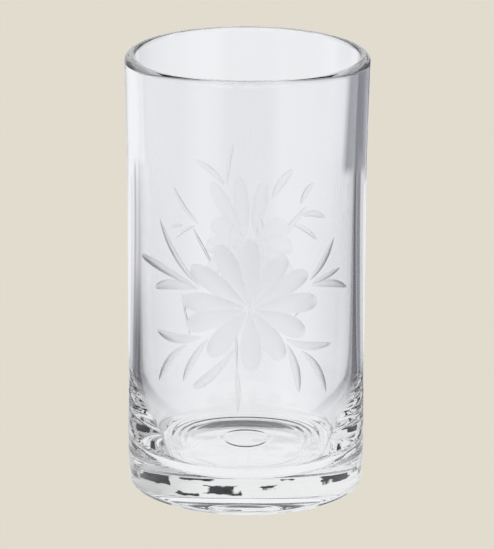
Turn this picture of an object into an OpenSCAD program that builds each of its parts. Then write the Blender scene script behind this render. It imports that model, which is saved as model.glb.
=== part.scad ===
// Tall straight shot glass of clear glass, one solid piece with a heavy base.
// A flower with leaf sprays is wheel-cut into the outside at the front (-Y),
// and a second one at the back (+Y). The cuts are left frosted.
// Lengths in mm, angles in degrees. +Z is up. The origin is on the axis, level
// with the ring that the glass stands on.
// The ground layer that lines the cuts of each side has a node of its own,
// because it is frosted where the rest of the glass is clear.

/* [Glass] */
// Overall height
height = 75; // [68:1:90]
// Outside diameter of the straight part of the body
body_diameter = 40; // [38:1:48]
// Thickness of the side wall
wall = 2; // [1.8:0.1:2.6]
// Glass left under the drink, at the middle of the floor
base_thickness = 5.6; // [4.4:0.2:6.4]
// How far the mouth stands out beyond the straight body, on each side
flare = 0.5; // [0.2:0.1:0.8]
// Height at which the flare begins
flare_start = 42; // [36:1:48]

/* [Lip] */
// Radius of the outer edge of the lip
lip_outer_radius = 1.2; // [0.9:0.1:1.2]
// Radius of the inner edge of the lip
lip_inner_radius = 0.6; // [0.3:0.1:0.6]

/* [Foot] */
// Inner radius of the flat ring the glass stands on
foot_inner_radius = 14.4; // [12:0.2:15]
// Outer radius of the flat ring the glass stands on
foot_outer_radius = 16.6; // [16:0.2:17]
// Depth of the hollow under the base
punt_depth = 0.8; // [0.4:0.1:1.4]
// Radius of the bottom outer corner
heel_radius = 1.2; // [0.8:0.1:1.6]

/* [Inside] */
// Height at which the inner wall starts to curve in
bowl_start = 22; // [20:0.5:24]
// Radius of that curve
bowl_radius = 50; // [44:1:56]
// Radius of the corner between the bowl and the floor
floor_corner_radius = 4; // [3:0.1:4.4]

/* [Engraving] */
// Height of the middle of each flower
flower_height = 36.5; // [35:0.5:40]
// Number of petals
petal_count = 12; // [8:1:12]
// Distance from the middle of a flower to its petal tips
petal_reach = 11.6; // [10:0.2:12]
// Distance from the middle of a flower to where its petals begin
petal_root = 1.7; // [1.4:0.1:2.4]
// Half the width of a petal
petal_half_width = 1.45; // [1.1:0.05:1.6]
// Width of the clear ridge left between neighbouring petals
petal_gap = 0.2; // [0.2:0.05:0.4]
// How far the middle of a petal that points sideways is bowed upwards
petal_droop = 0.25; // [0.2:0.05:0.5]
// Depth of a cut, as a share of half its width
cut_depth_share = 0.36; // [0.3:0.01:0.4]
// Thickness of the frosted layer that lines each cut
frost_thickness = 0.1; // [0.08:0.01:0.12]

/* [Node] */
// Piece to build, or "all"

/* [Hidden] */

$fn = 128;

body_radius = body_diameter / 2;
bore_radius = body_radius - wall;
mouth_radius = body_radius + flare;
lip_width = lip_outer_radius + lip_inner_radius;
mouth_bore_radius = mouth_radius - lip_width;

// The heel leans in slightly below this height.
heel_top = 5;
heel_inset = 0.2;
heel_rise = 0.25;

// Middle of the circle that the bowl curve belongs to
bowl_middle = [bore_radius - bowl_radius, bowl_start];
// Middle of the floor corner, which touches the floor and the bowl curve
floor_corner_level = base_thickness + floor_corner_radius;
floor_corner_middle = [
    bowl_middle[0] + sqrt(pow(bowl_radius - floor_corner_radius, 2)
                          - pow(bowl_start - floor_corner_level, 2)),
    floor_corner_level
];
// Direction from the bowl's middle to the point where the two curves meet
meeting_angle = atan2(floor_corner_middle[1] - bowl_middle[1],
                      floor_corner_middle[0] - bowl_middle[0]);

// Steps along each curve of the outline
small_curve_steps = 10;
long_curve_steps = 16;

// A leaf is [turn from the flower, rise above it, lean of its tip from upright,
// half length, half width, sideways bow]. Turn and lean are in degrees and are
// positive to the right for someone facing that side; bow is positive when the
// middle bulges to the right of a leaf pointing up.
front_leaves = [
    [-38, 8.3, -29, 6.2, 0.60, -0.8],
    [-49, 4.4, -67, 5.2, 0.70, 0.5],
    [-45.5, 0.8, -91, 2.9, 0.65, 0.4],
    [38.5, 7.5, 38, 4.2, 0.60, 0.4],
    [42, 4.2, 68, 3.2, 0.60, -0.3],
    [45.5, 1.3, 95, 3.4, 0.65, -0.5],
    [-40.5, -4.8, -97, 3.2, 0.75, -0.6],
    [-39, -11, -141, 4.9, 0.65, 0.8],
    [-27.5, -10.8, -143, 3.6, 0.65, 0.6],
    [-18, -13, -127, 3.8, 0.75, -0.4],
    [34, -7.7, 85, 3.5, 0.70, 0.6],
    [23, -12.5, 167, 3.2, 0.65, -0.5],
    [35, -13, 142, 3.9, 0.70, -0.8],
    [-4, -14.8, 178, 3.2, 0.65, -0.3]
];
back_leaves = [
    [8, 15, -10, 3.7, 0.60, 0.3],
    [23.5, 13.9, 49, 2.9, 0.60, -0.4],
    [-26.5, 12, -37, 3, 0.70, 0.3],
    [38, 8.4, 28, 4.2, 0.60, 0.5],
    [44, 4.7, 88, 2.4, 0.60, -0.3],
    [43, 2, 107, 2.6, 0.60, -0.4],
    [-38, 8.5, -34, 2.9, 0.60, 0.3],
    [-43, 5.5, -83, 3.1, 0.65, 0.5],
    [-43, 2.2, -110, 3.1, 0.60, 0.5],
    [35, -12, 162, 4.2, 0.60, 0.3],
    [-34, -12, -155, 4, 0.60, -0.3],
    [25.5, -13.3, 150, 3.2, 0.60, 0.4],
    [-25.5, -13.3, -150, 3.2, 0.60, -0.4],
    [4, -15.2, 180, 3.2, 0.65, -0.3]
];
// Both motifs, each with its turn about the axis and its leaves
motifs = [[0, front_leaves], [180, back_leaves]];

// How far a cutter has risen above the surface where it ends
cutter_exit_rise = 0.1;
// How far a cutter stands clear of the glass, above the surface
cutter_clearance = 0.4;
// Curves as fine as the shallow cuts need
fine_steps = 256;
// Steps round the rim of a grinding wheel
rim_steps = 96;
// The least bend a cutter is given
least_bend = 0.001;

// How far round the glass and how far below its flower a motif may reach
motif_sweep = 150;
motif_reach = 20;

glass_colour = [0.86, 0.90, 0.92, 0.35];
frost_colour = [0.93, 0.94, 0.95];

function arc(middle, radius, from, to, steps) =
    [for (i = [0:steps])
        let (angle = from + (to - from) * i / steps)
        middle + radius * [cos(angle), sin(angle)]];

// Points of a wall that leaves the upright smoothly and ends further out
function flared(radius, spread, top, steps) =
    [for (i = [0:steps])
        [radius + spread * pow(i / steps, 2),
         flare_start + (top - flare_start) * i / steps]];

function reversed(points) = [for (i = [len(points) - 1:-1:0]) points[i]];

function punt_points() =
    [for (i = [0:small_curve_steps])
        let (share = i / small_curve_steps)
        [foot_inner_radius * share, punt_depth * (1 - pow(share, 2))]];

function outer_points() = concat(
    punt_points(),
    [[foot_outer_radius, 0]],
    arc([body_radius - heel_inset - heel_radius, heel_rise + heel_radius],
        heel_radius, -90, 0, small_curve_steps),
    [[body_radius, heel_top]],
    flared(body_radius, flare, height - lip_outer_radius, small_curve_steps)
);

function lip_points() = concat(
    arc([mouth_radius - lip_outer_radius, height - lip_outer_radius],
        lip_outer_radius, 0, 90, small_curve_steps),
    arc([mouth_bore_radius + lip_inner_radius, height - lip_inner_radius],
        lip_inner_radius, 90, 180, small_curve_steps)
);

function inner_points() = concat(
    reversed(flared(bore_radius, mouth_bore_radius - bore_radius,
                    height - lip_inner_radius, small_curve_steps)),
    arc(bowl_middle, bowl_radius, 0, meeting_angle, long_curve_steps),
    arc(floor_corner_middle, floor_corner_radius, meeting_angle, -90,
        small_curve_steps),
    [[0, base_thickness]]
);

module uncut_glass() {
    rotate_extrude()
    polygon(concat(outer_points(), lip_points(), inner_points()));
}

// The outer half of the wall on one side, as far round as a motif reaches
module engraved_wall(motif) {
    rotate([0, 0, motifs[motif][0] - 90 - motif_sweep / 2])
    rotate_extrude(angle = motif_sweep, $fn = fine_steps)
    polygon(concat([[body_radius - wall / 2, flower_height - motif_reach],
                    [body_radius, flower_height - motif_reach]],
                   flared(body_radius, flare, height - lip_outer_radius,
                          small_curve_steps),
                   [[body_radius - wall / 2, height - lip_outer_radius]]));
}

// Moves what is drawn at the origin, facing +X with +Y along a cut and +Z to
// its left, onto the outside of the glass.
module place_on_wall(turn, level, lean) {
    rotate([0, 0, turn - 90])
    translate([body_radius, 0, level])
    rotate([90 - lean, 0, 0])
    children();
}

// One cut of a grinding wheel's rim. Its bottom follows the wall, rises to the
// surface at both ends, and may bow sideways.
module wheel_cut(turn, level, lean, half_length, half_width, bow, growth) {
    depth = cut_depth_share * half_width;
    lift = 2 * depth / pow(half_length, 2) - pow(sin(lean), 2) / body_radius;
    rim_radius = 1 / (2 * depth / pow(half_width, 2)
                      - pow(cos(lean), 2) / body_radius);
    rise_bend = lift / (1 - rim_radius * lift);
    side_bend = 2 * bow / pow(half_length, 2);
    bend = max(norm([rise_bend, side_bend]), least_bend);
    tilt = atan2(side_bend, rise_bend);
    cutter_length = half_length * sqrt(1 + (growth + cutter_exit_rise) / depth);
    sweep = cutter_length * bend * 180 / PI;

    place_on_wall(turn, level, lean)
    translate([rim_radius - depth, 0, 0])
    rotate([0, 180 - tilt, 0])
    translate([-1 / bend, 0, 0])
    rotate([0, 0, -sweep])
    rotate_extrude(angle = 2 * sweep, $fn = fine_steps)
    translate([1 / bend, 0])
    intersection() {
        circle(r = rim_radius + growth, $fn = rim_steps);
        rotate(-tilt)
        translate([rim_radius - depth - cutter_clearance, -2 * rim_radius])
        square(4 * rim_radius);
    }
}

// The space of one petal's own sector, set back from both neighbours. It is
// drawn about the middle of the petal, which lies that far from the flower's.
module petal_sector(middle, growth) {
    half_angle = 180 / petal_count;
    setback = (petal_gap / 2 + frost_thickness - growth) / sin(half_angle);
    reach = 2 * petal_reach;

    rotate([90, 0, 90])
    translate([0, 0, -wall])
    linear_extrude(2 * wall)
    polygon([[setback - middle, 0],
             [reach - middle, (reach - setback) * tan(half_angle)],
             [reach - middle, -(reach - setback) * tan(half_angle)]]);
}

module petal_cut(turn, number, growth) {
    middle = (petal_reach + petal_root) / 2;
    lean = 360 * number / petal_count;
    petal_turn = turn + middle * sin(lean) / body_radius * 180 / PI;
    petal_level = flower_height + middle * cos(lean);

    intersection() {
        wheel_cut(petal_turn, petal_level, lean,
                  (petal_reach - petal_root) / 2, petal_half_width,
                  -petal_droop * sin(lean), growth);
        place_on_wall(petal_turn, petal_level, lean)
        petal_sector(middle, growth);
    }
}

module leaf_cut(turn, leaf, growth) {
    wheel_cut(turn + leaf[0], flower_height + leaf[1], leaf[2],
              leaf[3], leaf[4], leaf[5], growth);
}

// Takes the petals and the leaves of one motif out of what it is given
module cut_motif(motif) {
    turn = motifs[motif][0];
    difference() {
        difference() {
            children();
            for (number = [0:petal_count - 1])
                petal_cut(turn, number, frost_thickness);
        }
        for (leaf = motifs[motif][1])
            leaf_cut(turn, leaf, frost_thickness);
    }
}

// The frosted layer that lines the cuts of one motif
module ground_layer(motif) {
    turn = motifs[motif][0];
    color(frost_colour) {
        for (number = [0:petal_count - 1])
            difference() {
                intersection() {
                    engraved_wall(motif);
                    petal_cut(turn, number, frost_thickness);
                }
                petal_cut(turn, number, 0);
            }
        for (leaf = motifs[motif][1])
            difference() {
                intersection() {
                    engraved_wall(motif);
                    leaf_cut(turn, leaf, frost_thickness);
                }
                leaf_cut(turn, leaf, 0);
            }
    }
}

module glass_body() {
    color(glass_colour)
    cut_motif(1)
    cut_motif(0)
    uncut_glass();
}

module front_engraving() {
    ground_layer(0);
}

module back_engraving() {
    ground_layer(1);
}

glass_body();
front_engraving();
back_engraving();
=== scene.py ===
"""Looks of a cut shot glass: one closed vessel of clear glass, its wheel cuts lined with ground layers."""

import math

import bpy
import numpy as np
from mathutils import Matrix, Vector
from mathutils.geometry import delaunay_2d_cdt


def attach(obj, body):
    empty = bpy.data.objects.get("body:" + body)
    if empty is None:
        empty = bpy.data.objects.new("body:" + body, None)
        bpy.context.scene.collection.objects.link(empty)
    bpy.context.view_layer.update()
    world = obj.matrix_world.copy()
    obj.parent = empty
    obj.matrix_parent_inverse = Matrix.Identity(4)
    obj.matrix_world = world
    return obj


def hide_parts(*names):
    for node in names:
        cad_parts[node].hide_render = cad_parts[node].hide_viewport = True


MM = 0.001

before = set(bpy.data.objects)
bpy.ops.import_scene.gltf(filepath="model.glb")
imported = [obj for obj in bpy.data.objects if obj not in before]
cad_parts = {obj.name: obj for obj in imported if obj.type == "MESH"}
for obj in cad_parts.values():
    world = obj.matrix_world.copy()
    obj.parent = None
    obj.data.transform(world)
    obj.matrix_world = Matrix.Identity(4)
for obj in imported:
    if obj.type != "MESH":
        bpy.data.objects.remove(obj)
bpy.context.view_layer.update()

# ---------------------------------------------------------------- sizes, in millimetres
HEIGHT = 75.0
BODY_RADIUS = 20.0
WALL = 2.0
FLARE = 0.5             # how far the mouth opens
FLARE_START = 42.0      # height at which it starts to
LIP_OUTER = 1.2         # radii of the lip's two edges
LIP_INNER = 0.6
FOOT_INNER = 14.4       # the ring that the glass stands on
FOOT_OUTER = 16.6
PUNT = 0.8              # rise of the hollow under the base
HEEL = 1.2              # radius of the rounded heel
HEEL_TOP = 5.0
HEEL_INSET = 0.2
HEEL_RISE = 0.25
FLOOR = 5.6             # height of the drink's floor
BOWL_START = 22.0       # height at which the bore starts to curve in
BOWL_RADIUS = 50.0
CORNER = 4.0            # radius between the bowl and the floor
BORE = BODY_RADIUS - WALL
MOUTH_BORE = BODY_RADIUS + FLARE - LIP_OUTER - LIP_INNER

RING_DEPTH = 0.12       # of the faint rings round the floor
RING_SPACING = 1.35
RING_MIDDLE = 13.2      # radius at which they are strongest
RING_SPREAD = 1.9
RING_TOP = 5.0          # how far above the floor they end
RING_FADE = 2.0
MARK_RADIUS = 4.1       # of the round mark in the middle of the floor
MARK_DEPTH = 0.09
MARK_WIDTH = 0.34
CROWN = 0.18            # how far the middle of the floor rises
CROWN_SPREAD = 7.5
FLOOR_LIMIT = 0.5       # the mark and the crown stay this close to the floor's height

SEGMENTS = 256          # round the vessel
BAND = (15.0, 64.0)     # heights between which the outside carries cuts
BAND_ROWS = 34

# ---------------------------------------------------------------- the outline
def arc(middle, radius, start, end, steps):
    t = np.radians(np.linspace(start, end, steps + 1))
    return np.stack([middle[0] + radius * np.cos(t), middle[1] + radius * np.sin(t)], 1)


def outer_radius(z):
    """Radius of the outside at a height between the heel and the lip."""
    up = np.clip((np.asarray(z, float) - FLARE_START) / (HEIGHT - LIP_OUTER - FLARE_START), 0, None)
    return BODY_RADIUS + FLARE * up ** 2


def outer_slope(z):
    span = HEIGHT - LIP_OUTER - FLARE_START
    up = np.clip((np.asarray(z, float) - FLARE_START) / span, 0, None)
    return 2 * FLARE * up / span


def column(low, high, steps):
    z = np.linspace(low, high, steps + 1)
    return np.stack([outer_radius(z), z], 1)


def below_band():
    """The underside, the heel and the wall up to the cuts, from the axis outwards."""
    r = FOOT_INNER * np.sin(np.linspace(0, math.pi / 2, 25))
    punt = np.stack([r, PUNT * (1 - (r / FOOT_INNER) ** 2)], 1)
    heel = arc((BODY_RADIUS - HEEL_INSET - HEEL, HEEL_RISE + HEEL), HEEL, -90, 0, 12)
    lean = np.linspace(0, 1, 7)[1:-1, None]
    side = heel[-1] * (1 - lean) + np.array([BODY_RADIUS, HEEL_TOP]) * lean
    return np.concatenate([punt, [[(FOOT_INNER + FOOT_OUTER) / 2, 0.0], [FOOT_OUTER, 0.0]],
                           heel, side, column(HEEL_TOP, BAND[0], 8)])


def above_band():
    """The wall over the cuts, the lip, the bore and the floor, back to the axis."""
    lip = np.concatenate([
        arc((BODY_RADIUS + FLARE - LIP_OUTER, HEIGHT - LIP_OUTER), LIP_OUTER, 0, 90, 14)[1:],
        arc((MOUTH_BORE + LIP_INNER, HEIGHT - LIP_INNER), LIP_INNER, 90, 180, 12)[1:]])
    z = np.linspace(HEIGHT - LIP_INNER, FLARE_START, 14)[1:]
    up = (z - FLARE_START) / (HEIGHT - LIP_INNER - FLARE_START)
    bore = np.stack([BORE + (MOUTH_BORE - BORE) * up ** 2, z], 1)
    straight = np.stack([np.full(7, BORE), np.linspace(FLARE_START, BOWL_START, 8)[1:]], 1)
    bowl_middle = (BORE - BOWL_RADIUS, BOWL_START)
    corner_z = FLOOR + CORNER
    corner_r = bowl_middle[0] + math.sqrt((BOWL_RADIUS - CORNER) ** 2 - (BOWL_START - corner_z) ** 2)
    meet = math.degrees(math.atan2(corner_z - BOWL_START, corner_r - bowl_middle[0]))
    bowl = arc(bowl_middle, BOWL_RADIUS, 0, meet, 24)[1:]
    corner = arc((corner_r, corner_z), CORNER, meet, -90, 44)[1:]
    r = np.linspace(corner[-1][0], 0, 110)[1:]
    floor = np.stack([r, np.full(len(r), FLOOR)], 1)
    return np.concatenate([column(BAND[1], HEIGHT - LIP_OUTER, 10), lip, bore, straight,
                           rippled(np.concatenate([bowl, corner, floor]))])


def hump(r, middle, spread):
    return np.exp(-((r - middle) / spread) ** 2)


def rippled(inside):
    """The bottom of the bore as a plunger leaves it: faint rings round the floor, a low crown in its
    middle and a shallow round mark."""
    r, z = inside.T
    low = np.clip((FLOOR + RING_TOP - z) / RING_FADE, 0, 1)
    rings = RING_DEPTH * low * hump(r, RING_MIDDLE, RING_SPREAD) * np.sin(2 * math.pi * r / RING_SPACING)
    mark = -MARK_DEPTH * hump(r, MARK_RADIUS, MARK_WIDTH)
    crown = CROWN * hump(r, 0, CROWN_SPREAD)
    return np.stack([r, z + rings + (mark + crown) * (z < FLOOR + FLOOR_LIMIT)], 1)


# ---------------------------------------------------------------- the wheel cuts
# A cut is (turn, height, lean, half length, half width, bow, outer swell). Turn and height place its
# middle; lean is the way its tip points, clockwise from upright; bow bulges it to the right
# of that way; swell moves its widest place towards the tip.
FLOWER = (0.0, 36.7)
PETAL_ROOT = 0.7
# a petal is (lean, reach of its tip)
PETALS = ((0, 11.8), (34.5, 10.6), (61, 11.4), (89, 12.0), (118, 10.8), (148.5, 10.6),
          (178, 10.8), (218, 10.8), (250, 11.6), (272, 11.8), (303, 12.0), (333, 12.0))
PETAL_WIDTH = 1.72       # half width
PETAL_BOW = -0.3         # bow of a petal that points straight sideways
PETAL_SWELL = 0.8
FRONT_LEAVES = (
    (-35.3, 45.1, -38, 6.7, .55, -.8, .35), (-42.9, 41.2, -76, 6.8, .75, .5, .8),
    (-37.6, 38.8, -97, 4.6, .85, .8, .6), (37.2, 44.0, 38, 4.1, .60, .4, .1),
    (40.2, 40.9, 76, 3.3, .50, 0, .1), (42.7, 38.8, 103, 4.3, .65, -.6, .3),
    (-36.1, 31.1, -93, 4.6, .85, -.7, .5), (-39.1, 25.9, -141, 4.9, .60, .8, .3),
    (-26.2, 27.2, -150, 4.7, .60, .4, .3), (-16.9, 26.1, -137, 5.2, .85, -.5, 1),
    (30.2, 30.1, 103, 4.7, .70, .7, .4), (21.1, 25.9, 165, 4.6, .70, -.5, .3),
    (32.8, 24.7, 148, 4.9, .65, -.8, .3), (-5.8, 22.5, 178, 3.9, .42, -.2, .1),
    (-6.0, 29.5, 179, 3.6, .16, 0, 0))
BACK_FLOWER = (177.0, 36.5)
# the petals at the back that the front flower hides; the three that show stand first in BACK_LEAVES
BACK_PETALS = ((60, 8.5), (90, 8.5), (120, 9.5), (150, 10.5), (180, 11), (210, 10.5), (240, 9.5),
               (270, 8.5), (300, 8.5))
BACK_LEAVES = (
    (181.2, 43.3, 8, 5.5, 1.4, 0, .6), (190.0, 43.3, 32, 5.4, 1.3, 0, .6),
    (172.0, 43.1, -12, 4.8, 1.4, 0, .6), (187.5, 50.6, -10, 3.8, .35, .3, .2),
    (198.8, 49.6, 49, 3.9, .50, -.4, .2), (159.1, 47.6, -37, 3.5, .75, .3, .3),
    (213.7, 44.5, 38, 4.9, .40, .5, .2), (219.9, 41.1, 86, 1.6, .30, -.1, .1),
    (214.1, 39.7, 108, 2.5, .30, -.3, .1), (202.7, 36.5, 30, 4.7, .25, 0, .1),
    (171.2, 38.9, 10, 4.9, .75, 0, .3), (155.9, 39.3, -39, 6.6, .50, .2, .2),
    (144.2, 46.5, -34, 2.7, .50, .3, .2), (138.8, 42.8, -83, 3.0, .60, .5, .3),
    (144.9, 39.6, -109, 3.0, .50, .5, .3), (213.5, 25.0, 14, 4.2, .2, 0, 0),
    (147.0, 26.5, -32, 3.6, .18, 0, 0), (177.0, 22.5, 178, 3.9, .50, .2, .1))
LEAF_DEPTH = 0.30        # depth of a leaf over its half width
PETAL_DEPTH = 0.19       # and of a petal, which a flatter wheel grinds
LINE_DEPTH = 0.7         # and of a scratched line
LINE_WIDTH = 0.3         # half width under which a cut is a line
PETAL_LEAST = 1.0        # half width over which a cut is a petal
LAYER = 0.07             # thickness of the ground layer that lines a cut


def petals_of(flower, petals):
    cuts = []
    for lean, reach in petals:
        middle = (reach + PETAL_ROOT) / 2
        a = math.radians(lean)
        cuts.append((flower[0] + math.degrees(middle * math.sin(a) / BODY_RADIUS),
                     flower[1] + middle * math.cos(a), lean, (reach - PETAL_ROOT) / 2,
                     PETAL_WIDTH, PETAL_BOW * math.sin(a), PETAL_SWELL))
    return cuts


def half_width(cut, u):
    """Half the width at a place u along the cut, from -1 at its root to 1 at its tip."""
    t = np.clip((u + 1) / 2, 0, 1)
    swell = cut[6]
    a = 0.75 + 0.15 * swell
    b = 0.85 - 0.5 * swell
    peak = a / (a + b)
    return cut[4] * (t / peak) ** a * ((1 - t) / (1 - peak)) ** b


def along_across(cut, turn, z):
    """Where a point of the unrolled wall lies: along the cut as u, and across it in millimetres."""
    s = np.radians(turn - cut[0]) * BODY_RADIUS
    h = z - cut[1]
    a = math.radians(cut[2])
    u = (s * math.sin(a) + h * math.cos(a)) / cut[3]
    return u, s * math.cos(a) - h * math.sin(a) - cut[5] * (1 - u ** 2)


def depth_share(cut):
    if cut[4] < LINE_WIDTH:
        return LINE_DEPTH
    return PETAL_DEPTH if cut[4] > PETAL_LEAST else LEAF_DEPTH


def depth_of(cut, turn, z):
    u, v = along_across(cut, turn, z)
    inside = np.abs(u) < 1
    w = np.where(inside, half_width(cut, np.clip(u, -1, 1)), 1.0)
    w = np.maximum(w, 1e-6)
    d = depth_share(cut) * w * (1 - (v / w) ** 2)
    return np.where(inside & (d > 0), d, 0.0)


def point_of(cut, u, share):
    """Turn and height of the point at u along a cut and at that share of its half width across."""
    v = share * half_width(cut, u) + cut[5] * (1 - u ** 2)
    a = math.radians(cut[2])
    s = u * cut[3] * math.sin(a) + v * math.cos(a)
    h = u * cut[3] * math.cos(a) - v * math.sin(a)
    return np.stack([cut[0] + np.degrees(s / BODY_RADIUS), cut[1] + h], 1)


# ---------------------------------------------------------------- the wall that carries them
def cut_wall(cuts, first_turn):
    """The unrolled wall of one side: its points as turn and height, its triangles, and the cut that each
    triangle belongs to, or -1."""
    turns = first_turn + np.arange(SEGMENTS // 2 + 1) * 360 / SEGMENTS
    rows = np.linspace(BAND[0], BAND[1], BAND_ROWS + 1)
    grid = np.stack(np.meshgrid(turns, rows, indexing="ij"), -1).reshape(-1, 2)
    edge = ((np.abs(grid[:, 0] - turns[0]) < 1e-9) | (np.abs(grid[:, 0] - turns[-1]) < 1e-9)
            | (np.abs(grid[:, 1] - rows[0]) < 1e-9) | (np.abs(grid[:, 1] - rows[-1]) < 1e-9))
    near = np.zeros(len(grid), bool)
    lines, inner = [], []
    for cut in cuts:
        steps = 26 if cut[4] > .3 else 20
        u = np.cos(np.linspace(math.pi, 0, steps))
        line = np.concatenate([point_of(cut, u, 1.0), point_of(cut, u[1:-1], -1.0)[::-1]])
        lines.append(line)
        for share in (0.8, 0.5, 0.0, -0.5, -0.8):
            inner.append(point_of(cut, np.cos(np.linspace(math.pi, 0, steps - 2))[1:-1], share))
        cu, cv = along_across(cut, grid[:, 0], grid[:, 1])
        near |= (np.abs(cu) < 1.05) & (np.abs(cv) < cut[4] + 0.15)
    inner = np.concatenate(inner)
    points = np.concatenate([grid[edge | ~near], inner] + lines)
    # the triangulation is made in millimetres on the unrolled wall
    scale = math.radians(1) * BODY_RADIUS
    flat = points * (scale, 1)
    edges, start = [], len(points) - sum(len(l) for l in lines)
    for line in lines:
        n = len(line)
        edges += [(start + i, start + (i + 1) % n) for i in range(n)]
        start += n
    found = delaunay_2d_cdt([Vector(p) for p in flat], edges, [], 0, 1e-5)
    points = np.array([tuple(p) for p in found[0]]) / (scale, 1)
    faces = np.array(found[2])
    middle = points[faces].mean(1)
    depths = np.stack([depth_of(cut, middle[:, 0], middle[:, 1]) for cut in cuts])
    owner = np.where(depths.max(0) > 0, depths.argmax(0), -1)
    return points, faces, owner


def on_wall(turn, z, depth):
    a = np.radians(turn)
    r = outer_radius(z) - depth
    return np.stack([r * np.sin(a), -r * np.cos(a), z], 1)


def wall_normal(turn, z):
    a = np.radians(turn)
    n = np.stack([np.sin(a), -np.cos(a), -outer_slope(z)], 1)
    return n / np.linalg.norm(n, axis=1, keepdims=True)


def scoop_normal(cut, turn, z):
    """The way out of a cut's surface, from how its depth changes."""
    step = 0.01
    per_mm = math.degrees(1 / BODY_RADIUS)

    def raw(t, h):
        u, v = along_across(cut, t, h)
        w = np.maximum(half_width(cut, np.clip(u, -0.9, 0.9)), 0.02)
        return depth_share(cut) * w * (1 - (v / w) ** 2)

    ds = (raw(turn + step * per_mm, z) - raw(turn - step * per_mm, z)) / (2 * step)
    dz = (raw(turn, z + step) - raw(turn, z - step)) / (2 * step)
    a = np.radians(turn)
    out = np.stack([np.sin(a), -np.cos(a), np.zeros_like(a)], 1)
    side = np.stack([np.cos(a), np.sin(a), np.zeros_like(a)], 1)
    n = out + side * ds[:, None] + np.array([0, 0, 1.0]) * (dz - outer_slope(z))[:, None]
    return n / np.linalg.norm(n, axis=1, keepdims=True)


def build_piece(name, points, faces, slots, normals):
    """A mesh object from points in millimetres, with one normal for each corner of each face."""
    mesh = bpy.data.meshes.new(name)
    mesh.from_pydata([tuple(p) for p in points * MM], [], [tuple(f) for f in faces])
    mesh.polygons.foreach_set("material_index", slots)
    mesh.polygons.foreach_set("use_smooth", [True] * len(faces))
    mesh.update()
    mesh.normals_split_custom_set([tuple(n) for n in normals])
    piece = bpy.data.objects.new(name, mesh)
    bpy.context.scene.collection.objects.link(piece)
    return piece


class Lathe:
    """Points, faces and corner normals gathered for the vessel."""

    def __init__(self):
        self.points, self.normals, self.faces, self.corner, self.slots = [], [], [], [], []
        self.at = {}

    def point(self, p):
        key = (round(p[0], 5), round(p[1], 5), round(p[2], 5))
        if key not in self.at:
            self.at[key] = len(self.points)
            self.points.append(p)
        return self.at[key]

    def face(self, corners, normals, slot=0):
        ids = [self.point(c) for c in corners]
        keep = [i for i in range(len(ids)) if ids[i] != ids[i - 1]]
        if len(keep) < 3:
            return
        self.faces.append([ids[i] for i in keep])
        self.corner += [tuple(normals[i]) for i in keep]
        self.slots.append(slot)

    def revolve(self, outline):
        """Turns an outline, given from the underside outwards, into faces that look outwards."""
        tangent = np.gradient(outline, axis=0)
        way = np.stack([tangent[:, 1], -tangent[:, 0]], 1)
        way /= np.linalg.norm(way, axis=1, keepdims=True)
        way[np.abs(outline[:, 0]) < 1e-9] = [0, np.sign(way[np.abs(outline[:, 0]) < 1e-9][0, 1])]
        a = np.radians(-90 + np.arange(SEGMENTS + 1) * 360 / SEGMENTS)
        sin, cos = np.sin(a), np.cos(a)
        sin[-1], cos[-1] = sin[0], cos[0]
        pts = np.stack([outline[:, None, 0] * sin, -outline[:, None, 0] * cos,
                        np.repeat(outline[:, 1:], len(a), 1)], -1)
        nrm = np.stack([way[:, None, 0] * sin, -way[:, None, 0] * cos,
                        np.repeat(way[:, 1:], len(a), 1)], -1)
        for i in range(len(outline) - 1):
            for k in range(SEGMENTS):
                quad = ((i, k), (i, k + 1), (i + 1, k + 1), (i + 1, k))
                self.face([pts[q] for q in quad], [nrm[q] for q in quad])


CLEAR, JOINT = 0, 1


def build_glass():
    """The vessel, and a ground layer for each side. The layer thins to nothing at the edge of a cut, and
    the vessel's faces under it are the same faces, so that no gap is left between them."""
    vessel = Lathe()
    vessel.revolve(below_band())
    vessel.revolve(above_band())
    layers = []
    sides = (("front", -90, petals_of(FLOWER, PETALS) + list(FRONT_LEAVES)),
             ("back", 90, petals_of(BACK_FLOWER, BACK_PETALS) + list(BACK_LEAVES)))
    for side, first_turn, cuts in sides:
        points, faces, owner = cut_wall(cuts, first_turn)
        turn, z = points[:, 0], points[:, 1]
        depth = np.max([depth_of(cut, turn, z) for cut in cuts], 0)
        depth[np.unique(faces[owner < 0])] = 0.0
        layer = LAYER * depth / (depth + 0.05)
        top = on_wall(turn, z, depth)
        low = on_wall(turn, z, depth + layer)
        out = wall_normal(turn, z)
        area_way = np.cross(top[faces[:, 1]] - top[faces[:, 0]], top[faces[:, 2]] - top[faces[:, 0]])
        flip = (area_way * out[faces[:, 0]]).sum(1) < 0
        faces[flip] = faces[flip][:, ::-1]
        for face, who in zip(faces, owner):
            if who < 0:
                vessel.face(top[face], out[face], CLEAR)
        layer_mesh = Lathe()
        for index, cut in enumerate(cuts):
            mine = faces[owner == index]
            if not len(mine):
                continue
            ids = np.unique(mine)
            ways = dict(zip(ids, scoop_normal(cut, turn[ids], z[ids])))
            for face in mine:
                n = [ways[i] for i in face]
                vessel.face(low[face], n, JOINT)
                layer_mesh.face(top[face], n, 0)
                layer_mesh.face(low[face][::-1], [-w for w in n[::-1]], 1)
        layers.append((side, layer_mesh))
    return vessel, layers


# ---------------------------------------------------------------- materials
def new_material(name):
    material = bpy.data.materials.new(name)
    material.use_nodes = True
    nodes = material.node_tree.nodes
    shader = next(n for n in nodes if n.type == "BSDF_PRINCIPLED")
    return material, nodes, material.node_tree.links, shader


def add(nodes, kind, **values):
    node = nodes.new(kind)
    for key, value in values.items():
        if key in node.inputs.keys():
            node.inputs[key].default_value = value
        else:
            setattr(node, key, value)
    return node


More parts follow.
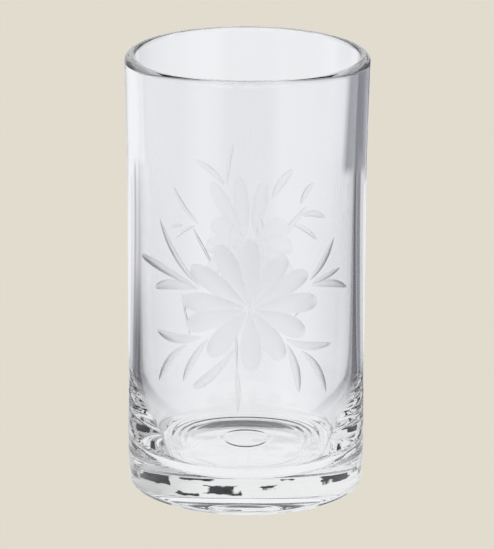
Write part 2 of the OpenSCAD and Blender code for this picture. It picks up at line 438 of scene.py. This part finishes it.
def mapped(nodes, source, target):
    """A range node that takes one span of values to another."""
    node = nodes.new("ShaderNodeMapRange")
    for name, value in zip(("From Min", "From Max", "To Min", "To Max"), (*source, *target)):
        node.inputs[name].default_value = value
    return node


def glass_shader(shader, colour):
    shader.inputs["Base Color"].default_value = colour
    shader.inputs["Transmission Weight"].default_value = 1.0
    shader.inputs["IOR"].default_value = 1.52


WAVY_BELOW = (0.012, 0.024)      # heights in metres between which the waves of the thick foot die down
WAVE_STRENGTH = (0.16, 0.03)     # of the waves in the foot and in the wall


def clear_glass():
    material, nodes, links, shader = new_material("clear_glass")
    glass_shader(shader, (0.985, 0.99, 0.995, 1))
    place = add(nodes, "ShaderNodeTexCoord")
    wave = add(nodes, "ShaderNodeTexNoise", Scale=70.0, Detail=1.0)
    bump = add(nodes, "ShaderNodeBump", Distance=0.0004)
    links.new(place.outputs["Object"], wave.inputs["Vector"])
    height = add(nodes, "ShaderNodeSeparateXYZ")
    links.new(place.outputs["Object"], height.inputs["Vector"])
    calm = mapped(nodes, WAVY_BELOW, WAVE_STRENGTH)
    links.new(height.outputs["Z"], calm.inputs["Value"])
    links.new(calm.outputs["Result"], bump.inputs["Strength"])
    links.new(wave.outputs["Fac"], bump.inputs["Height"])
    links.new(bump.outputs["Normal"], shader.inputs["Normal"])
    smear = add(nodes, "ShaderNodeTexNoise", Scale=240.0, Detail=3.0)
    rough = mapped(nodes, (0.62, 0.85), (0.0, 0.02))
    links.new(place.outputs["Object"], smear.inputs["Vector"])
    links.new(smear.outputs["Fac"], rough.inputs["Value"])
    links.new(rough.outputs["Result"], shader.inputs["Roughness"])
    return material


def ground_glass():
    material, nodes, links, shader = new_material("ground_glass")
    glass_shader(shader, (0.97, 0.975, 0.98, 1))
    place = add(nodes, "ShaderNodeTexCoord")
    grit = add(nodes, "ShaderNodeTexNoise", Scale=4000.0, Detail=3.0)
    rough = mapped(nodes, (0, 1), (0.34, 0.46))
    bump = add(nodes, "ShaderNodeBump", Strength=0.2, Distance=0.00002)
    links.new(place.outputs["Object"], grit.inputs["Vector"])
    links.new(grit.outputs["Fac"], rough.inputs["Value"])
    links.new(rough.outputs["Result"], shader.inputs["Roughness"])
    links.new(grit.outputs["Fac"], bump.inputs["Height"])
    links.new(bump.outputs["Normal"], shader.inputs["Normal"])
    return material


def joint_face():
    """Where two layers of the same glass meet there is nothing to see."""
    material, _, _, shader = new_material("joint_face")
    shader.inputs["Alpha"].default_value = 0.0
    return material


clear = clear_glass()
ground = ground_glass()
joint = joint_face()

vessel, layers = build_glass()
glass = build_piece("glass", np.array(vessel.points), vessel.faces, vessel.slots, vessel.corner)
glass.data.materials.append(clear)
glass.data.materials.append(joint)
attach(glass, "root")
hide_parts("glass_body")
for side, layer in layers:
    piece = build_piece(side + "_cuts", np.array(layer.points), layer.faces, layer.slots, layer.corner)
    piece.data.materials.append(ground)
    piece.data.materials.append(joint)
    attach(piece, "root")
    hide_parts(side + "_engraving")

# ---------------------------------------------------------------- stage
# The camera sees a plain beige surround. Light that has met the glass sees a studio instead: a table that
# glows, painted light pale with grey and dark strips that makes the glass's bright and dark bands, pale
# walls with dark cards, and a dark ceiling.
#
# Turn is measured in degrees from straight behind the glass, towards +X; rise in degrees from the
# horizon; reach in metres along the table from the glass. A ramp's stops are (value, grey or colour).
BEIGE = (0.7529, 0.7157, 0.6172, 1)
WHITE = (0.90, 0.90, 0.92, 1)
NEAR_WHITE = (0.92, 0.92, 0.93, 1)
RIGHT_GREY = (0.24, 0.24, 0.27, 1)
FAR_GREY = (0.12, 0.12, 0.14, 1)
CEILING = (0.07, 0.07, 0.08, 1)
DARK = (0.010, 0.010, 0.013, 1)
DEGREES = 57.2958

# (from turn, to turn, from rise, to rise)
DARK_CARDS = (
    (4, 16, 16.4, 21.5), (-8.5, -4, 16.2, 19.5), (17, 30, 21.2, 24.8), (10, 26, 7, 12.2),
    (31, 57, 2, 18), (59, 86, 0, 22), (28, 34, 31, 35), (6, 12, 28, 32), (-15, -9.5, 9, 12.2),
    (-50, -27, 1, 16.4), (-90, -66, 3, 19.5), (-75, -57, -2, 8.5), (98, 112, 3, 24),
    (-122, -104, 3, 26), (130, 146, 2, 22), (-152, -134, 2, 20), (-176, -164, 4, 40),
    (160, 176, 4, 40))
CARD_EDGE = 0.8          # degrees over which the edge of a card fades
UNEVEN_TURN = 11.0       # degrees over which the cards' outlines wander
UNEVEN_RISE = 6.0
WALL_RAMP = ((-180, .84), (16, .86), (40, .56), (90, .5), (130, .84), (180, .84))
CEILING_RAMP = ((0, 0), (42, 0), (44.5, 1), (90, 1))

# the light that the table gives off round the glass, painted light: white behind the glass and dark at its
# sides
TABLE_GLOW_RAMP = (
    (-180, (.2, .2, .21)), (-155, (.24, .24, .25)), (-140, (.5, .5, .52)), (-112, (.30, .30, .31)),
    (-86, (.20, .20, .21)), (-62, (.12, .12, .13)), (-50, (.17, .17, .19)), (-48, (.32, .32, .35)),
    (-45, (.15, .15, .17)), (-37, (.19, .19, .21)), (-34, (.68, .68, .71)), (-30, (.80, .80, .83)),
    (-20, (.88, .88, .90)), (-9, (.91, .91, .93)), (0, (.93, .93, .94)), (9, (.91, .91, .93)),
    (20, (.87, .87, .89)), (30, (.80, .80, .83)), (34, (.70, .70, .73)), (36, (.16, .16, .18)),
    (43, (.20, .20, .22)), (46, (.5, .5, .53)), (48, (.11, .11, .13)), (60, (.2, .2, .22)),
    (85, (.35, .35, .37)), (105, (.4, .4, .42)), (122, (.72, .72, .74)), (148, (.74, .74, .76)),
    (162, (.24, .24, .25)), (180, (.2, .2, .21)))
# on the left its glow turns white with reach, later along one narrow strip
FADE_REACH = ((0, 0), (.095, 0), (.125, .3), (.145, .62), (.18, .75), (.21, 1), (.4, 1))
FADE_TURN = ((-180, 0), (-112, 0), (-75, .9), (-54, .6), (-48, .6), (-45, 1), (-41, 1), (-38, .3),
             (-33.5, .3), (-31, 1), (12, 1), (19, 0), (180, 0))
END_REACH = ((0, 0), (.196, 0), (.208, 1), (.4, 1))
END_TURN = ((-180, 0), (-112, 0), (-75, 1), (12, 1), (19, 0), (180, 0))
# the far corner on the right glows grey like a card, painted light that shows in the right edge of the
# wall
RIGHT_TURN = ((-180, 0), (17, 0), (21, 1), (60, 1), (90, 0), (180, 0))
RIGHT_REACH = ((0, 0), (.197, 0), (.204, 1), (.4, 1))
# far off it glows grey in two strips, to the left and right of the one straight behind
STRIP_TURN = ((-180, 0), (-74, 0), (-62, 1), (-34, 1), (-22, 0), (22, 0), (34, 1), (62, 1), (74, 0),
              (180, 0))
STRIP_REACH = ((0, 0), (.30, 0), (.34, 1), (1, 1))
# round the foot it glows white, painted light under the glass
NEAR_REACH = ((0, 0), (.02, 0), (.055, 1), (.1, 1))
FLOOR_HALF = 3.0         # metres
FLOOR_DROP = 0.00005     # keeps the floor off the foot


class Graph:
    """Short ways to add nodes to a tree and link them."""

    def __init__(self, tree):
        self.nodes, self.links = tree.nodes, tree.links
        self.nodes.clear()

    def feed(self, socket, value):
        if isinstance(value, bpy.types.NodeSocket):
            self.links.new(value, socket)
        else:
            socket.default_value = value

    def node(self, kind, *values, **settings):
        made = self.nodes.new(kind)
        for key, value in settings.items():
            setattr(made, key, value)
        for socket, value in zip(made.inputs, values):
            if value is not None:
                self.feed(socket, value)
        return made

    def math(self, operation, *values):
        return self.node("ShaderNodeMath", *values, operation=operation).outputs[0]

    def curve(self, value, low, high, stops):
        """A colour ramp over a value that runs from low to high."""
        ramp = self.nodes.new("ShaderNodeValToRGB")
        self.feed(ramp.inputs[0], self.math("MULTIPLY_ADD", value, 1 / (high - low), -low / (high - low)))
        elements = ramp.color_ramp.elements
        while len(elements) < len(stops):
            elements.new(0.5)
        for element, (at, shade) in zip(elements, stops):
            element.position = (at - low) / (high - low)
            element.color = (*shade, 1) if isinstance(shade, tuple) else (shade, shade, shade, 1)
        return ramp.outputs[0]

    def mixed(self, share, one, other):
        mix = self.nodes.new("ShaderNodeMix")
        mix.data_type = "RGBA"
        # sockets 0, 6, 7 and 2 are the share, the two colours and the result of a colour mix
        self.feed(mix.inputs[0], share)
        self.feed(mix.inputs[6], one)
        self.feed(mix.inputs[7], other)
        return mix.outputs[2]

    def turn_of(self, x, y):
        return self.math("MULTIPLY", self.math("ARCTAN2", x, y), DEGREES)


def seen_and_lit(graph, output, shader, colour):
    """Beige for the camera itself, and a colour for every other ray."""
    seen = graph.node(shader, BEIGE, 1.0).outputs[0]
    lit = graph.node(shader, colour, 1.0).outputs[0]
    path = graph.nodes.new("ShaderNodeLightPath")
    mix = graph.node("ShaderNodeMixShader", path.outputs["Is Camera Ray"], lit, seen)
    graph.links.new(mix.outputs[0], graph.nodes.new(output).inputs[0])


def studio_world():
    world = bpy.data.worlds.new("studio")
    bpy.context.scene.world = world
    world.use_nodes = True
    g = Graph(world.node_tree)
    look = g.nodes.new("ShaderNodeTexCoord").outputs["Generated"]
    warp = g.nodes.new("ShaderNodeTexNoise")
    g.feed(warp.inputs["Vector"], look)
    g.feed(warp.inputs["Scale"], 15.0)
    g.feed(warp.inputs["Detail"], 3.0)
    shift = g.node("ShaderNodeSeparateColor", warp.outputs["Color"])
    way = g.node("ShaderNodeSeparateXYZ", look)
    turn = g.turn_of(way.outputs[0], way.outputs[1])
    rise = g.math("MULTIPLY", g.math("ARCSINE", way.outputs[2]), DEGREES)
    turn = g.math("ADD", turn, g.math("MULTIPLY_ADD", shift.outputs[0], UNEVEN_TURN, -UNEVEN_TURN / 2))
    rise = g.math("ADD", rise, g.math("MULTIPLY_ADD", shift.outputs[1], UNEVEN_RISE, -UNEVEN_RISE / 2))
    shade = None
    for left, right, low, high in DARK_CARDS:
        sides = []
        for value, start, end in ((turn, left, right), (rise, low, high)):
            off = g.math("ABSOLUTE", g.math("SUBTRACT", value, (start + end) / 2))
            made = g.node("ShaderNodeMath", off, -1 / CARD_EDGE, (end - start) / 2 / CARD_EDGE,
                          operation="MULTIPLY_ADD")
            made.use_clamp = True
            sides.append(made.outputs[0])
        card = g.math("MULTIPLY", *sides)
        shade = card if shade is None else g.math("MAXIMUM", shade, card)
    colour = g.mixed(shade, g.curve(turn, -180, 180, WALL_RAMP), DARK)
    colour = g.mixed(g.curve(rise, 0, 90, CEILING_RAMP), colour, CEILING)
    seen_and_lit(g, "ShaderNodeOutputWorld", "ShaderNodeBackground", colour)


def floor_of_stage():
    mesh = bpy.data.meshes.new("floor")
    corners = ((-1, -1), (1, -1), (1, 1), (-1, 1))
    mesh.from_pydata([(x * FLOOR_HALF, y * FLOOR_HALF, 0) for x, y in corners], [], [(0, 1, 2, 3)])
    floor = bpy.data.objects.new("floor", mesh)
    floor.location.z = -FLOOR_DROP
    bpy.context.scene.collection.objects.link(floor)
    material = bpy.data.materials.new("pale_glowing_floor")
    material.use_nodes = True
    g = Graph(material.node_tree)
    spot = g.node("ShaderNodeSeparateXYZ", g.nodes.new("ShaderNodeNewGeometry").outputs["Position"])
    x, y = spot.outputs[0], spot.outputs[1]
    turn = g.turn_of(x, y)
    reach = g.math("SQRT", g.math("ADD", g.math("MULTIPLY", x, x), g.math("MULTIPLY", y, y)))

    def patch(turn_stops, reach_stops, farthest=0.4):
        return g.math("MULTIPLY", g.curve(turn, -180, 180, turn_stops),
                      g.curve(reach, 0, farthest, reach_stops))

    left = g.math("MAXIMUM", patch(FADE_TURN, FADE_REACH), patch(END_TURN, END_REACH))
    colour = g.mixed(left, g.curve(turn, -180, 180, TABLE_GLOW_RAMP), WHITE)
    colour = g.mixed(patch(RIGHT_TURN, RIGHT_REACH), colour, RIGHT_GREY)
    colour = g.mixed(patch(STRIP_TURN, STRIP_REACH, 1), colour, FAR_GREY)
    colour = g.mixed(g.curve(reach, 0, 0.1, NEAR_REACH), NEAR_WHITE, colour)
    # the floor gives these tones off as light to every ray but the camera's: painted light that the glass
    # shows as its bright and dark bands
    seen_and_lit(g, "ShaderNodeOutputMaterial", "ShaderNodeEmission", colour)
    mesh.materials.append(material)


studio_world()
floor_of_stage()

# ---------------------------------------------------------------- camera
AZIMUTH = math.radians(-1.5)
ELEVATION = math.radians(16.5)
ROLL = math.radians(0.275)
DISTANCE = 0.725
TARGET = Vector((0, 0, 0.0366))
IMAGE_HEIGHT = 549       # pixels
SENSOR = 36
FOCAL_PIXELS = 4300
SHIFT_PIXELS = 0.46
away = Vector((math.sin(AZIMUTH) * math.cos(ELEVATION), -math.cos(AZIMUTH) * math.cos(ELEVATION),
               math.sin(ELEVATION)))
camera = bpy.data.objects.new("camera", bpy.data.cameras.new("camera"))
bpy.context.scene.collection.objects.link(camera)
camera.location = TARGET + away * DISTANCE
camera.rotation_euler = (away.to_track_quat("Z", "Y").to_matrix()
                         @ Matrix.Rotation(ROLL, 3, "Z")).to_euler()
camera.data.sensor_fit = "VERTICAL"
camera.data.sensor_height = SENSOR
camera.data.lens = SENSOR * FOCAL_PIXELS / IMAGE_HEIGHT
camera.data.shift_x = SHIFT_PIXELS / IMAGE_HEIGHT
camera.data.clip_start = 0.01
bpy.context.scene.camera = camera

scene = bpy.context.scene
scene.view_settings.view_transform = "Standard"
scene.cycles.use_denoising = True
BOUNCES = 32             # light is turned back inside the thick foot many times
scene.cycles.max_bounces = BOUNCES
scene.cycles.transmission_bounces = BOUNCES
scene.cycles.glossy_bounces = BOUNCES
scene.cycles.transparent_max_bounces = BOUNCES
